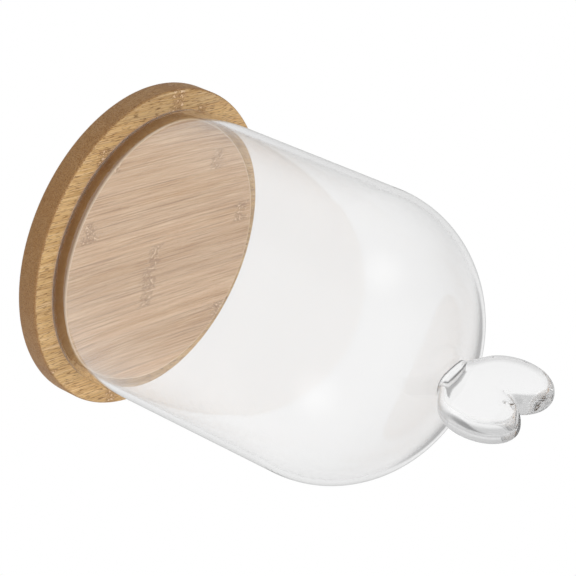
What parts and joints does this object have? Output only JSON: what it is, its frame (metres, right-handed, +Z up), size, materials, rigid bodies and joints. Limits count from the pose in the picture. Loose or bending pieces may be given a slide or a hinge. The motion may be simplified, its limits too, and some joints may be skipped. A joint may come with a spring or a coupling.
{
  "type": "cheese dome",
  "caption": "Clear glass dome with a round crown and a heart-shaped glass knob, standing on the step of a round bamboo board with a raised middle; the dome lifts off.",
  "frame": {"origin": "centre of the board's underside", "axes": "+Z up along the dome's axis; the heart knob lies in the XZ plane, so its broad faces look along -Y and +Y; the bamboo's grain runs 18 degrees clockwise from +X, seen from above"},
  "size_m": [0.14, 0.14, 0.2003],
  "materials": {
    "bamboo": "bamboo staves glued edge to edge, turned and oiled to a satin finish, with fibre lines and nodes",
    "clear_glass": "clear blown glass with a fire-polished rim",
    "knob_glass": "clear solid glass with smooth rounded edges"
  },
  "bodies": {
    "board": {"bamboo_stave_01": "bamboo", "bamboo_stave_02": "bamboo", "bamboo_stave_03": "bamboo", "bamboo_stave_04": "bamboo", "bamboo_stave_05": "bamboo", "bamboo_stave_06": "bamboo", "bamboo_stave_07": "bamboo", "bamboo_stave_08": "bamboo", "bamboo_stave_09": "bamboo", "bamboo_stave_10": "bamboo", "bamboo_stave_11": "bamboo", "bamboo_stave_12": "bamboo", "bamboo_stave_13": "bamboo", "bamboo_stave_14": "bamboo", "bamboo_stave_15": "bamboo"},
    "dome": {"glass_dome": "clear_glass", "heart_knob": "knob_glass"}
  },
  "joints": [
    {"name": "dome_lift", "type": "slide", "parent": "board", "child": "dome", "axis": [0, 0, 1], "range_m": [0, 0.18]}
  ]
}
